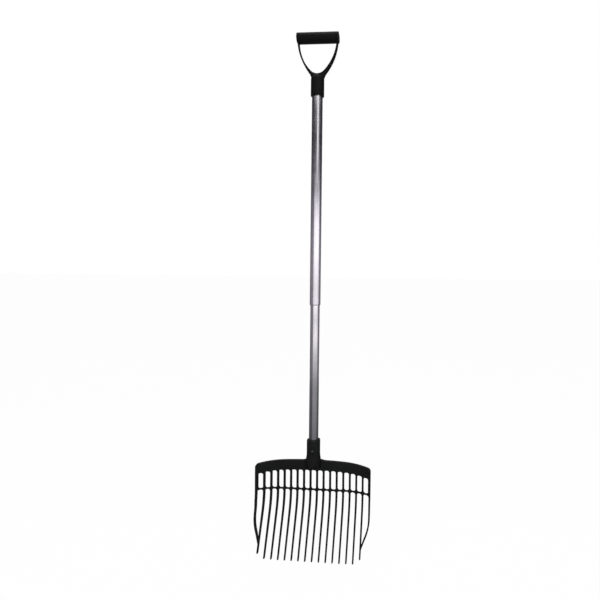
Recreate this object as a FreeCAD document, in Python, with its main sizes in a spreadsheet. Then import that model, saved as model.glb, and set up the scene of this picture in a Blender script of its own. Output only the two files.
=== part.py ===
import FreeCAD, Part
import math
import os
import Sketcher

# Shavings fork: a moulded D grip on a telescopic aluminium handle with a twist lock,
# and a wide moulded head with sixteen tines. Millimetres. The origin is the middle of
# the grip's ferrule, +Z runs up the handle, +X to the right and -Y to the concave front.

# Driving sizes, one row for each size that can be set by itself
sizes = {
    # Hand grip
    "bar_radius": 15.2,             # outside of the hand bar, its eyes and its end caps
    "bar_height": 137.2,            # bar's axis above the origin
    "hand_opening": 105.0,          # clear width between the eyes
    "eye_thickness": 5.0,
    "cap_thickness": 0.8,
    "cap_edge": 0.4,                # chamfer round an end cap
    "cap_plug_length": 2.5,         # spigot that snaps into the eye
    "rod_radius": 4.0,
    "rod_inset": 2.9,               # rod's end behind the eye's outer face
    "rod_clearance": 0.1,
    "sleeve_edge": 0.5,             # chamfer at each end of the hand bar
    # Yoke
    "ferrule_radius": 18.5,
    "ferrule_length": 52.0,
    "yoke_depth": 16.0,
    "yoke_edge": 1.6,               # rounding along the yoke's arms
    "crotch_height": 36.6,          # lowest point of the hand hole
    "crotch_half_width": 18.5,
    "crotch_rise": 8.0,
    "arm_foot_half_width": 24.8,    # where the arms leave the ferrule's shoulder
    "arm_foot_height": 40.4,
    "shoulder_height": 28.0,
    "arm_outer_radius": 162.0,
    "arm_inset": 1.0,               # arm's inner face outside its eye's inner face
    "arm_outer_inset": 0.3,         # and its outer face inside its eye's outer face
    "arm_top_gap": 8.0,             # arm ends this far below the bar's axis
    "arm_root_half_width": 14.5,    # arms' foot, inside the ferrule's top
    "arm_root_overlap": 1.0,        # arms run this far down into the ferrule's top
    # Tubes
    "upper_tube_radius": 15.0,
    "tube_wall": 1.5,
    "upper_tube_length": 627.0,
    "tube_end_gap": 7.0,            # tube's top below the ferrule's shoulder
    "tube_fit": 0.05,               # radial gap where a tube or plug is seated
    "mouth_length": 5.0,            # rolled-in mouth that guides the lower tube
    "mouth_clearance": 0.08,
    "lower_tube_radius": 13.0,
    "lower_tube_length": 598.0,
    "tube_overlap": 152.0,
    # Twist lock
    "plug_length": 30.0,
    "flange_thickness": 3.0,
    "flange_radius": 12.6,
    "stud_radius": 4.0,
    "stud_length": 61.0,
    "stud_depth": 18.0,             # part of the stud that is inside the plug
    "stud_clearance": 0.05,
    "sleeve_gap": 2.0,              # lock sleeve above the plug's flange
    "sleeve_length": 30.0,
    "sleeve_clearance": 0.05,
    "sleeve_slit": 2.0,
    "cone_inset": 4.0,              # cone's ends inside the sleeve's ends
    "cone_small_radius": 7.0,
    "cone_large_radius": 10.8,
    "clip_gap": 3.0,                # travel left between cone and clip
    "clip_thickness": 1.2,
    "clip_radius": 6.5,
    # Screws
    "grip_screw_radius": 2.0,
    "grip_screw_head_radius": 4.0,
    "grip_screw_head_height": 1.6,
    "grip_screw_length": 7.0,
    "grip_screw_drop": 12.0,        # below the ferrule's middle
    "grip_seat_depth": 1.8,
    "grip_seat_radius": 5.0,
    "head_screw_radius": 2.5,
    "head_screw_head_radius": 4.5,
    "head_screw_head_height": 2.6,
    "head_screw_length": 8.0,
    "head_seat_depth": 3.0,
    "head_seat_radius": 7.0,
    "head_screw_drop": 27.0,        # below the socket's rim
    "screw_point": 2.0,
    "screw_drive_radius": 1.5,
    "screw_drive_depth": 1.2,
    "hole_clearance": 0.05,
    # Socket of the head
    "socket_radius": 18.5,
    "socket_height": 76.0,
    "socket_depth": 71.0,
    "flare_radius": 20.5,
    "flare_start": 41.0,            # below the socket's rim
    "flare_end": 53.0,
    "core_width": 5.6,
    "core_height": 10.0,
    "core_floor": 15.0,             # distance of a core pocket's floor from the axis
    "core_half_spacing": 9.0,
    # Crossbar
    "crossbar_drop": 60.8,          # crossbar's top edge below the socket's rim
    "crossbar_height": 27.2,        # top edge to the middle windows' tops
    "wall_depth": 8.0,
    "wall_setback": 8.0,            # wall's middle behind the handle's axis
    "curl_flat": 88.0,              # half width of the flat middle of the head
    "curl_radius": 170.0,
    "arch_flat": 25.0,              # half width of the level row of window tops
    "arch_radius": 776.0,
    "top_flat": 12.0,
    "top_radius": 1060.0,
    "end_corner": 8.0,
    "window_corner": 5.2,
    "root_drop": 13.5,              # tines start this far below the middle windows' tops
    # Tines, rails and rib
    "pitch": 18.57,                 # from one tine to the next
    "rail_pitch": 20.0,             # from the last tine to the rail
    "tine_width": 5.0,
    "tine_depth": 8.0,
    "tip_width": 4.0,
    "tip_depth": 5.4,
    "bend_drop": 85.3,              # bend below the middle windows' tops
    "bend_radius": 150.0,
    "tine_fall": 137.7,             # bend down to the level of the longest tips
    "outer_tip_rise": 15.0,
    "second_tip_rise": 2.4,
    "third_tip_rise": 0.8,
    "rib_drop": 55.2,               # rib's middle below the middle windows' tops
    "rib_height": 3.4,
    "rib_depth": 4.8,
    "rib_corner": 4.5,
    "rail_width": 5.6,
    "rail_end_width": 4.0,
    "rail_end_depth": 5.4,
    "rail_straight_length": 36.0,   # straight run along the slope before the rail turns in
    "rail_back": 7.0,               # rail's middle behind the plane of the tines
    "rail_turn_radius": 112.0,
    # One overrun serves every cut
    "overrun": 6.0,
}

# Angles, in degrees
angles = {
    "tine_lean": 21.35,
    "rail_turn": 22.0,
}

tine_count = 16
end_window_count = 4            # the crossbar's ends start this many windows from the middle one
turn_steps = 4
bend_steps = 4
screw_crown_share = 0.8         # flat crown of a screw's head, of the head's radius
tip_round_share = 1.05          # rounding of a tine's tip, of half its depth
thin_share = 0.01               # an edge lies in a flat face when it spans less than this of its length

doc = FreeCAD.newDocument("shavings_fork")
sheet = doc.addObject("Spreadsheet::Sheet", "Sizes")
for row, (alias, number) in enumerate(list(sizes.items()) + list(angles.items()), start=1):
    sheet.set("A%d" % row, alias)
    sheet.set("B%d" % row, str(number))
    sheet.setAlias("B%d" % row, alias)
doc.recompute()


class Size:
    """A length that knows both its number and the sheet expression it comes from."""

    def __init__(self, value, text):
        self.value = value
        self.text = text

    def __add__(self, other):
        return Size(self.value + other.value, "(%s + %s)" % (self.text, other.text))

    def __sub__(self, other):
        return Size(self.value - other.value, "(%s - %s)" % (self.text, other.text))

    def __mul__(self, share):
        return Size(self.value * share, "(%s * %r)" % (self.text, float(share)))

    def __truediv__(self, share):
        return Size(self.value / share, "(%s / %r)" % (self.text, float(share)))

    def __neg__(self):
        return Size(-self.value, "(-1 * %s)" % self.text)


def size(alias):
    return Size(sizes[alias], "Sizes.%s" % alias)


def beyond(distance, limit):
    """How far a distance goes past a limit, or zero."""
    gap = distance - limit
    return Size(max(0.0, gap.value), "max(0; %s)" % gap.text)


def leg(long_side, short_side):
    """The other leg of a right triangle."""
    number = math.sqrt(long_side.value ** 2 - short_side.value ** 2)
    return Size(number, "sqrt(pow(%s; 2) - pow(%s; 2))" % (long_side.text, short_side.text))


def span(across, up):
    """The long side of a right triangle."""
    number = math.hypot(across.value, up.value)
    return Size(number, "sqrt(pow(%s; 2) + pow(%s; 2))" % (across.text, up.text))


def meeting_radius(chord, heading):
    """Radius of an arc over a chord whose end runs along a heading; both are an across and an up."""
    across, up = chord
    along, climb = heading
    slant = abs(along.value * up.value - climb.value * across.value)
    slant_text = "abs(%s * %s - %s * %s)" % (along.text, up.text, climb.text, across.text)
    chord_span = span(across, up)
    heading_span = span(along, climb)
    number = chord_span.value ** 2 * heading_span.value / (2 * slant)
    return Size(number, "(pow(%s; 2) * %s / (2 * %s))" % (chord_span.text, heading_span.text, slant_text))


def part_of(length, share, whole):
    """A length times the ratio of two other lengths."""
    number = length.value * share.value / whole.value
    return Size(number, "(%s * %s / %s)" % (length.text, share.text, whole.text))


def turned_by(length, function, alias, half=False):
    """A length times the sine, cosine or tangent of an angle from the sheet."""
    divisor = 2 if half else 1
    ratio = {"sin": math.sin, "cos": math.cos, "tan": math.tan}[function]
    number = length.value * ratio(math.radians(angles[alias] / divisor))
    return Size(number, "(%s * %s(Sizes.%s / %d * 1 deg))" % (length.text, function, alias, divisor))


zero = Size(0.0, "0")


# Heights and places that several pieces share
shoulder_z = size("ferrule_length") / 2
ferrule_bottom_z = -shoulder_z
grip_screw_z = -size("grip_screw_drop")
upper_top_z = shoulder_z - size("tube_end_gap")
upper_bottom_z = upper_top_z - size("upper_tube_length")
lower_top_z = upper_bottom_z + size("tube_overlap")
lower_bottom_z = lower_top_z - size("lower_tube_length")
socket_top_z = lower_bottom_z + size("socket_depth")
socket_bottom_z = socket_top_z - size("socket_height")
head_screw_z = socket_top_z - size("head_screw_drop")
crossbar_top_z = socket_top_z - size("crossbar_drop")
window_top_z = crossbar_top_z - size("crossbar_height")
tine_root_z = window_top_z - size("root_drop")
rib_z = window_top_z - size("rib_drop")
bend_z = window_top_z - size("bend_drop")
tip_z = bend_z - size("tine_fall")
upper_bore = size("upper_tube_radius") - size("tube_wall")
lower_bore = size("lower_tube_radius") - size("tube_wall")
last_tine_x = size("pitch") * ((tine_count - 1) / 2)
rail_x = last_tine_x + size("rail_pitch")
head_half_width = rail_x + size("rail_width") / 2


def across(distance, radius_alias, flat_alias):
    """Fall of an arc that starts level at a flat's end, at a distance from the middle."""
    reach = beyond(distance, size(flat_alias))
    return size(radius_alias) - leg(size(radius_alias), reach)


def curl(distance):
    """How far forward the head has curled at a distance from its middle."""
    return across(distance, "curl_radius", "curl_flat")


def wall_y(distance):
    """The wall's middle plane at a distance from the head's middle."""
    return size("wall_setback") - curl(distance)


def new_body(label):
    body = doc.addObject("PartDesign::Body", label)
    body.Label = label
    return body


def new_sketch(body, name, role, offset=None):
    """A sketch on one of the body's own origin planes, moved out along its normal."""
    sketch = body.newObject("Sketcher::SketchObject", body.Label + "_" + name)
    plane = [item for item in body.Origin.OriginFeatures if item.Role == role][0]
    sketch.AttachmentSupport = [(plane, "")]
    sketch.MapMode = "FlatFace"
    if offset is not None:
        sketch.setExpression("AttachmentOffset.Base.z", offset.text)
    return sketch


def arc_between(start, end, radius, turn):
    """An arc of less than half a circle; turn is 1 to the left and -1 to the right."""
    middle = (start + end) * 0.5
    chord = end - start
    across_chord = FreeCAD.Vector(-chord.y, chord.x, 0).normalize()
    rise = math.sqrt(radius ** 2 - (chord.Length / 2) ** 2)
    centre = middle + across_chord * (rise * turn)
    first, last = (start, end) if turn > 0 else (end, start)
    first_angle = math.atan2(first.y - centre.y, first.x - centre.x)
    last_angle = math.atan2(last.y - centre.y, last.x - centre.x)
    round_edge = Part.Circle(centre, FreeCAD.Vector(0, 0, 1), radius)
    return Part.ArcOfCircle(round_edge, first_angle, last_angle)


def end_order(turn):
    """A side's first and last end as the sketch counts them; an arc to the right runs backwards."""
    return (2, 1) if turn < 0 else (1, 2)


class Drawing:
    """Collects a sketch's shapes and rules, so that the sketch is solved only once."""

    def __init__(self, sketch):
        self.sketch = sketch
        self.shapes = []
        self.rules = []
        self.bound = []

    def rule(self, kind, places, distance):
        self.bound.append((len(self.rules), distance.text))
        self.rules.append(Sketcher.Constraint(kind, *places, distance.value))

    def hold(self, number, end, x, y):
        """Fix one point of a shape by its two coordinates."""
        for kind, axis, distance in (("DistanceX", -2, x), ("DistanceY", -1, y)):
            if distance.text == zero.text:
                self.rules.append(Sketcher.Constraint("PointOnObject", number, end, axis))
            else:
                self.rule(kind, (-1, 1, number, end), distance)

    def circle(self, x, y, radius):
        centre = FreeCAD.Vector(x.value, y.value, 0)
        number = len(self.shapes)
        self.shapes.append(Part.Circle(centre, FreeCAD.Vector(0, 0, 1), radius.value))
        self.hold(number, 3, x, y)
        self.rule("Radius", (number,), radius)

    def outline(self, points, arcs=None):
        """A closed outline through held points; arcs maps a side to its radius and turn."""
        arcs = arcs or {}
        places = [FreeCAD.Vector(x.value, y.value, 0) for x, y in points]
        sides = []
        for side, start in enumerate(places):
            end = places[(side + 1) % len(places)]
            radius, turn = arcs.get(side, (None, 0))
            if turn:
                shape = arc_between(start, end, radius.value, turn)
            else:
                shape = Part.LineSegment(start, end)
            sides.append((len(self.shapes), *end_order(turn)))
            self.shapes.append(shape)
        for side, (number, first, _) in enumerate(sides):
            before, _, before_last = sides[side - 1]
            self.rules.append(Sketcher.Constraint("Coincident", before, before_last, number, first))
            self.hold(number, first, *points[side])
        for side, (radius, _) in arcs.items():
            self.rule("Radius", (sides[side][0],), radius)

    def finish(self):
        self.sketch.addGeometry(self.shapes, False)
        self.sketch.addConstraint(self.rules)
        for number, text in self.bound:
            self.sketch.setExpression("Constraints[%d]" % number, text)
        return self.sketch


def draw_circle(sketch, x, y, radius):
    drawing = Drawing(sketch)
    drawing.circle(x, y, radius)
    return drawing.finish()


def draw_outline(sketch, points, arcs=None):
    drawing = Drawing(sketch)
    drawing.outline(points, arcs)
    return drawing.finish()


def extrude(body, sketch, kind, name, length=None, both=False, back=False):
    """A pad or a pocket; with no length it goes through everything."""
    feature = body.newObject("PartDesign::" + kind, body.Label + "_" + name)
    feature.Profile = sketch
    feature.SideType = "Symmetric" if both else "One side"
    feature.Reversed = back
    if length is None:
        feature.Type = "ThroughAll"
    else:
        feature.Type = "Length"
        feature.setExpression("Length", length.text)
    sketch.Visibility = False
    return feature


def spin(body, sketch, kind, name):
    """A revolution or a groove about the sketch's own upright axis."""
    feature = body.newObject("PartDesign::" + kind, body.Label + "_" + name)
    feature.Profile = sketch
    feature.ReferenceAxis = (sketch, ["V_Axis"])
    feature.Angle = 360
    sketch.Visibility = False
    return feature


def turned(label, points):
    """A body turned from the right half of its section, given as radius and height."""
    body = new_body(label)
    sketch = new_sketch(body, "section", "XZ_Plane")
    draw_outline(sketch, points)
    spin(body, sketch, "Revolution", "turned")
    return body


def place(body, x=zero, y=zero, z=zero, axis=None, angle=0):
    if axis is not None:
        body.Placement = FreeCAD.Placement(FreeCAD.Vector(), FreeCAD.Rotation(axis, angle))
    for name, distance in (("x", x), ("y", y), ("z", z)):
        if distance.text != zero.text:
            body.setExpression("Placement.Base." + name, distance.text)


x_axis = FreeCAD.Vector(1, 0, 0)
y_axis = FreeCAD.Vector(0, 1, 0)


# Hand grip

def make_yoke():
    body = new_body("grip_yoke")
    inner_top = size("hand_opening") / 2 + size("arm_inset")
    outer_top = size("hand_opening") / 2 + size("eye_thickness") - size("arm_outer_inset")
    arm_top = size("bar_height") - size("arm_top_gap")
    crotch_side = size("crotch_height") + size("crotch_rise")
    crotch_half = size("crotch_half_width")
    rise = size("crotch_rise")
    crotch_radius = (part_of(crotch_half, crotch_half, rise) + rise) / 2
    crotch_end_heading = (crotch_half - part_of(rise, rise, crotch_half), rise * 2)
    inner_radius = meeting_radius((inner_top - crotch_half, arm_top - crotch_side), crotch_end_heading)
    outer_across = outer_top - size("arm_foot_half_width")
    outer_up = arm_top - size("arm_foot_height")
    outer_span = span(outer_across, outer_up)
    outer_leg = leg(size("arm_outer_radius"), outer_span / 2)
    foot_heading = (part_of(outer_across, outer_leg, outer_span) + outer_up / 2,
                    part_of(outer_up, outer_leg, outer_span) - outer_across / 2)
    shoulder_radius = meeting_radius((size("arm_foot_half_width") - size("ferrule_radius"),
                                      size("arm_foot_height") - size("shoulder_height")), foot_heading)
    # Right half of the arms, whose arcs run on from one another without a corner
    right = [
        (size("arm_root_half_width"), shoulder_z - size("arm_root_overlap")),
        (size("ferrule_radius"), size("shoulder_height")),
        (size("arm_foot_half_width"), size("arm_foot_height")),
        (outer_top, arm_top),
        (inner_top, arm_top),
        (crotch_half, crotch_side),
    ]
    left = [(-x, z) for x, z in reversed(right)]
    arcs = {
        1: (shoulder_radius, -1),
        2: (size("arm_outer_radius"), 1),
        4: (inner_radius, -1),
        5: (crotch_radius, -1),
        6: (inner_radius, -1),
        8: (size("arm_outer_radius"), 1),
        9: (shoulder_radius, -1),
    }
    arms = new_sketch(body, "arms", "XZ_Plane")
    draw_outline(arms, right + left, arcs)
    arms_pad = extrude(body, arms, "Pad", "arms_pad", size("yoke_depth"), both=True)
    doc.recompute()
    # Only the long free edges are rounded: not the arms' flat tops, nor their feet in the ferrule
    lowest_rim_z = size("shoulder_height") + size("yoke_edge")
    rims = []
    for number, edge in enumerate(arms_pad.Shape.Edges, start=1):
        box = edge.BoundBox
        thin = box.DiagonalLength * thin_share
        if box.YLength < thin < box.ZLength and box.ZMax > lowest_rim_z.value:
            rims.append("Edge%d" % number)
    rounding = body.newObject("PartDesign::Fillet", "grip_yoke_rounding")
    rounding.Base = (arms_pad, rims)
    rounding.setExpression("Radius", size("yoke_edge").text)
    for name, back in (("right_eye", False), ("left_eye", True)):
        start = size("hand_opening") / 2
        offset = -start if back else start
        eye = new_sketch(body, name, "YZ_Plane", offset)
        draw_circle(eye, zero, size("bar_height"), size("bar_radius"))
        extrude(body, eye, "Pad", name + "_pad", size("eye_thickness"), back=back)
    ferrule = new_sketch(body, "ferrule", "XY_Plane", ferrule_bottom_z)
    draw_circle(ferrule, zero, zero, size("ferrule_radius"))
    extrude(body, ferrule, "Pad", "ferrule_pad", size("ferrule_length"))
    bore = new_sketch(body, "bore", "XY_Plane", upper_top_z)
    draw_circle(bore, zero, zero, size("upper_tube_radius") + size("tube_fit"))
    extrude(body, bore, "Pocket", "bore_cut",
            size("ferrule_length") + size("overrun"))
    rod_hole = new_sketch(body, "rod_hole", "YZ_Plane")
    draw_circle(rod_hole, zero, size("bar_height"), size("rod_radius") + size("rod_clearance"))
    extrude(body, rod_hole, "Pocket", "rod_hole_cut", both=True)
    seat = new_sketch(body, "screw_seat", "XZ_Plane",
                      size("grip_seat_depth") - size("ferrule_radius"))
    draw_circle(seat, zero, grip_screw_z, size("grip_seat_radius"))
    extrude(body, seat, "Pocket", "screw_seat_cut",
            size("grip_seat_depth") + size("overrun"))
    hole = new_sketch(body, "screw_hole", "XZ_Plane")
    draw_circle(hole, zero, grip_screw_z, size("grip_screw_radius") + size("hole_clearance"))
    extrude(body, hole, "Pocket", "screw_hole_cut",
            size("ferrule_radius") + size("overrun"))
    return body


def make_grip_pieces():
    half_opening = size("hand_opening") / 2
    rod_hole = size("rod_radius") + size("rod_clearance")
    edge = size("sleeve_edge")
    sleeve = turned("grip_bar", [
        (rod_hole, -half_opening),
        (size("bar_radius") - edge, -half_opening),
        (size("bar_radius"), edge - half_opening),
        (size("bar_radius"), half_opening - edge),
        (size("bar_radius") - edge, half_opening),
        (rod_hole, half_opening),
    ])
    place(sleeve, z=size("bar_height"), axis=y_axis, angle=90)
    rod_half = half_opening + size("eye_thickness") - size("rod_inset")
    rod = turned("grip_rod", [
        (zero, -rod_half),
        (size("rod_radius"), -rod_half),
        (size("rod_radius"), rod_half),
        (zero, rod_half),
    ])
    place(rod, z=size("bar_height"), axis=y_axis, angle=90)
    eye_face = half_opening + size("eye_thickness")
    for label, side in (("grip_cap_right", 1), ("grip_cap_left", -1)):
        cap = turned(label, [
            (zero, -size("cap_plug_length")),
            (size("rod_radius"), -size("cap_plug_length")),
            (size("rod_radius"), zero),
            (size("bar_radius"), zero),
            (size("bar_radius"), size("cap_thickness") - size("cap_edge")),
            (size("bar_radius") - size("cap_edge"), size("cap_thickness")),
            (zero, size("cap_thickness")),
        ])
        place(cap, x=eye_face * side, z=size("bar_height"), axis=y_axis, angle=90 * side)


def make_screw(label, prefix):
    """A pan-head screw, its head's underside at the origin and its point along -Z."""
    radius = size(prefix + "_radius")
    length = size(prefix + "_length")
    head_radius = size(prefix + "_head_radius")
    head_height = size(prefix + "_head_height")
    return turned(label, [
        (zero, -length),
        (radius, size("screw_point") - length),
        (radius, zero),
        (head_radius, zero),
        (head_radius, head_height / 2),
        (head_radius * screw_crown_share, head_height),
        (size("screw_drive_radius"), head_height),
        (size("screw_drive_radius"), head_height - size("screw_drive_depth")),
        (zero, head_height - size("screw_drive_depth")),
    ])


# Tubes

def make_tubes():
    mouth_bore = size("lower_tube_radius") + size("mouth_clearance")
    roll = upper_bore - mouth_bore
    mouth_z = upper_bottom_z + size("mouth_length")
    upper = turned("upper_tube", [
        (upper_bore, upper_top_z),
        (size("upper_tube_radius"), upper_top_z),
        (size("upper_tube_radius"), mouth_z),
        (size("upper_tube_radius") - roll, upper_bottom_z),
        (mouth_bore, upper_bottom_z),
        (mouth_bore, upper_bottom_z + size("mouth_length") / 2),
        (upper_bore, mouth_z),
    ])
    hole = new_sketch(upper, "screw_hole", "XZ_Plane")
    draw_circle(hole, zero, grip_screw_z, size("grip_screw_radius") + size("hole_clearance"))
    extrude(upper, hole, "Pocket", "screw_hole_cut",
            size("upper_tube_radius") + size("overrun"))
    lower = turned("lower_tube", [
        (lower_bore, lower_bottom_z),
        (size("lower_tube_radius"), lower_bottom_z),
        (size("lower_tube_radius"), lower_top_z),
        (lower_bore, lower_top_z),
    ])
    hole = new_sketch(lower, "screw_hole", "XZ_Plane")
    draw_circle(hole, zero, head_screw_z, size("head_screw_radius") + size("hole_clearance"))
    extrude(lower, hole, "Pocket", "screw_hole_cut",
            size("lower_tube_radius") + size("overrun"), back=True)


# Twist lock inside the tubes

def make_lock():
    stud_hole = size("stud_radius") + size("stud_clearance")
    flange_top = lower_top_z + size("flange_thickness")
    plug_radius = lower_bore - size("tube_fit")
    turned("lock_plug", [
        (stud_hole, lower_top_z - size("plug_length")),
        (plug_radius, lower_top_z - size("plug_length")),
        (plug_radius, lower_top_z),
        (size("flange_radius"), lower_top_z),
        (size("flange_radius"), flange_top),
        (stud_hole, flange_top),
    ])
    stud_foot = lower_top_z - size("stud_depth")
    stud_top = stud_foot + size("stud_length")
    turned("lock_stud", [
        (zero, stud_foot),
        (size("stud_radius"), stud_foot),
        (size("stud_radius"), stud_top),
        (zero, stud_top),
    ])
    sleeve_foot = flange_top + size("sleeve_gap")
    sleeve_top = sleeve_foot + size("sleeve_length")
    cone_foot = sleeve_foot + size("cone_inset")
    cone_top = sleeve_top - size("cone_inset")
    sleeve_radius = upper_bore - size("sleeve_clearance")
    sleeve = turned("lock_sleeve", [
        (size("cone_small_radius"), sleeve_foot),
        (sleeve_radius, sleeve_foot),
        (sleeve_radius, sleeve_top),
        (size("cone_large_radius"), sleeve_top),
        (size("cone_large_radius"), cone_top),
        (size("cone_small_radius"), cone_foot),
    ])
    slit = new_sketch(sleeve, "slit", "XZ_Plane")
    half_slit = size("sleeve_slit") / 2
    draw_outline(slit, [
        (-half_slit, sleeve_foot - size("overrun")),
        (half_slit, sleeve_foot - size("overrun")),
        (half_slit, sleeve_top + size("overrun")),
        (-half_slit, sleeve_top + size("overrun")),
    ])
    extrude(sleeve, slit, "Pocket", "slit_cut", size("upper_tube_radius"))
    turned("lock_cone", [
        (stud_hole, cone_foot),
        (size("cone_small_radius"), cone_foot),
        (size("cone_large_radius"), cone_top),
        (stud_hole, cone_top),
    ])
    clip_foot = cone_top + size("clip_gap")
    turned("lock_clip", [
        (stud_hole, clip_foot),
        (size("clip_radius"), clip_foot),
        (size("clip_radius"), clip_foot + size("clip_thickness")),
        (stud_hole, clip_foot + size("clip_thickness")),
    ])


# Head

def socket_section():
    """Right half of the socket's outside, from its foot up to its rim."""
    return [
        (zero, socket_bottom_z),
        (size("flare_radius"), socket_bottom_z),
        (size("flare_radius"), socket_top_z - size("flare_end")),
        (size("socket_radius"), socket_top_z - size("flare_start")),
        (size("socket_radius"), socket_top_z),
        (zero, socket_top_z),
    ]


def make_socket():
    body = turned("head_socket", socket_section())
    bore = new_sketch(body, "bore", "XY_Plane", socket_top_z)
    draw_circle(bore, zero, zero, size("lower_tube_radius") + size("tube_fit"))
    extrude(body, bore, "Pocket", "bore_cut", size("socket_depth"))
    seat = new_sketch(body, "screw_seat", "XZ_Plane",
                      size("socket_radius") - size("head_seat_depth"))
    draw_circle(seat, zero, head_screw_z, size("head_seat_radius"))
    extrude(body, seat, "Pocket", "screw_seat_cut",
            size("head_seat_depth") + size("overrun"), back=True)
    hole = new_sketch(body, "screw_hole", "XZ_Plane")
    draw_circle(hole, zero, head_screw_z, size("head_screw_radius") + size("hole_clearance"))
    extrude(body, hole, "Pocket", "screw_hole_cut",
            size("socket_radius") + size("overrun"), back=True)
    cores = new_sketch(body, "cores", "XZ_Plane", size("core_floor"))
    drawing = Drawing(cores)
    for side in (-1, 1):
        middle = size("core_half_spacing") * side
        drawing.outline([
            (middle - size("core_width") / 2, socket_bottom_z - size("overrun")),
            (middle + size("core_width") / 2, socket_bottom_z - size("overrun")),
            (middle + size("core_width") / 2, socket_bottom_z + size("core_height")),
            (middle - size("core_width") / 2, socket_bottom_z + size("core_height")),
        ])
    drawing.finish()
    extrude(body, cores, "Pocket", "cores_cut",
            size("flare_radius") + size("overrun"), back=True)


def draw_band(sketch, depth):
    """The head's curled wall seen from above."""
    half = depth / 2
    flat = size("curl_flat")
    end_reach = head_half_width - flat
    back_radius = size("curl_radius") + half
    front_radius = size("curl_radius") - half
    centre_y = size("wall_setback") - size("curl_radius")
    back_end = centre_y + leg(back_radius, end_reach)
    front_end = centre_y + leg(front_radius, end_reach)
    front = size("wall_setback") - half
    back = size("wall_setback") + half
    draw_outline(sketch, [
        (-head_half_width, back_end),
        (-head_half_width, front_end),
        (-flat, front),
        (flat, front),
        (head_half_width, front_end),
        (head_half_width, back_end),
        (flat, back),
        (-flat, back),
    ], {
        1: (front_radius, -1),
        3: (front_radius, -1),
        5: (back_radius, 1),
        7: (back_radius, 1),
    })


def bar_edges(number):
    """Left and right faces of bar number 0 to 17: rail, sixteen tines, rail."""
    if number in (0, tine_count + 1):
        middle = rail_x if number else -rail_x
        half = size("rail_width") / 2
    else:
        middle = size("pitch") * (number - (tine_count + 1) / 2)
        half = size("tine_width") / 2
    return middle - half, middle + half


def window_arch(number):
    """How far the top of window 0 to 16 lies below the middle windows' tops."""
    distance = size("pitch") * abs(number - tine_count / 2)
    return across(distance, "arch_radius", "arch_flat")


def cut_windows(body, distance, sides):
    """The tops of the windows that lie a number of pitches to the given sides of the middle."""
    windows = new_sketch(body, "windows_%d" % distance, "XZ_Plane")
    drawing = Drawing(windows)
    corner = size("window_corner")
    low = tine_root_z - size("overrun")
    for number in sorted({tine_count // 2 + distance * side for side in sides}):
        left = bar_edges(number)[1]
        right = bar_edges(number + 1)[0]
        top = window_top_z - window_arch(number)
        drawing.outline([
            (left, low),
            (right, low),
            (right, top - corner),
            (right - corner, top),
            (left + corner, top),
            (left, top - corner),
        ], {2: (corner, 1), 4: (corner, 1)})
    drawing.finish()
    extrude(body, windows, "Pocket", "windows_%d_cut" % distance, both=True)


def make_crossbar(label, sides):
    """The crossbar's middle, or one end of it, which meets the middle across a window."""
    whole = len(sides) > 1
    body = new_body(label)
    band = new_sketch(body, "band", "XY_Plane", tine_root_z)
    draw_band(band, size("wall_depth"))
    extrude(body, band, "Pad", "band_pad", crossbar_top_z - tine_root_z)
    arch = new_sketch(body, "arch", "XZ_Plane")
    corner = size("end_corner")
    reach = head_half_width - corner - size("top_flat")
    inner_radius = size("top_radius") - corner
    rise = leg(inner_radius, reach)
    arc_centre_z = crossbar_top_z - size("top_radius")
    corner_x = size("top_flat") + part_of(size("top_radius"), reach, inner_radius)
    corner_z = arc_centre_z + part_of(size("top_radius"), rise, inner_radius)
    outside = head_half_width + size("overrun")
    above = crossbar_top_z + size("overrun")
    drawing = Drawing(arch)
    for side in sides:
        drawing.outline([
            (size("top_flat") * side, crossbar_top_z),
            (corner_x * side, corner_z),
            (head_half_width * side, arc_centre_z + rise),
            (outside * side, arc_centre_z + rise),
            (outside * side, above),
            (size("top_flat") * side, above),
        ], {0: (size("top_radius"), -side), 1: (corner, -side)})
    drawing.finish()
    extrude(body, arch, "Pocket", "arch_cut", both=True)
    joint_x = size("pitch") * end_window_count
    rest = new_sketch(body, "rest", "XZ_Plane")
    drawing = Drawing(rest)
    for side in sides:
        start = joint_x * side
        end = outside * side if whole else -outside * side
        drawing.outline([
            (start, tine_root_z - size("overrun")),
            (end, tine_root_z - size("overrun")),
            (end, above),
            (start, above),
        ])
    drawing.finish()
    extrude(body, rest, "Pocket", "rest_cut", both=True)
    distances = range(end_window_count + 1) if whole else range(end_window_count, tine_count // 2 + 1)
    for distance in distances:
        cut_windows(body, distance, sides)
    if whole:
        notch = new_sketch(body, "socket_notch", "XZ_Plane")
        draw_outline(notch, socket_section())
        spin(body, notch, "Groove", "socket_notch_cut")
    return body


def draw_rib_gaps(body, name, numbers):
    """The clear space above and below the rib between two bars, rounded in its corners."""
    sketch = new_sketch(body, name, "XZ_Plane")
    drawing = Drawing(sketch)
    corner = size("rib_corner")
    for side in (1, -1):
        inner = rib_z + size("rib_height") / 2 * side
        outer = inner + corner * side
        for number in numbers:
            left = bar_edges(number)[1]
            right = bar_edges(number + 1)[0]
            drawing.outline([
                (left, outer + size("overrun") * side),
                (left, outer),
                (left + corner, inner),
                (right - corner, inner),
                (right, outer),
                (right, outer + size("overrun") * side),
            ], {1: (corner, side), 3: (corner, side)})
    return drawing.finish()


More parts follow.
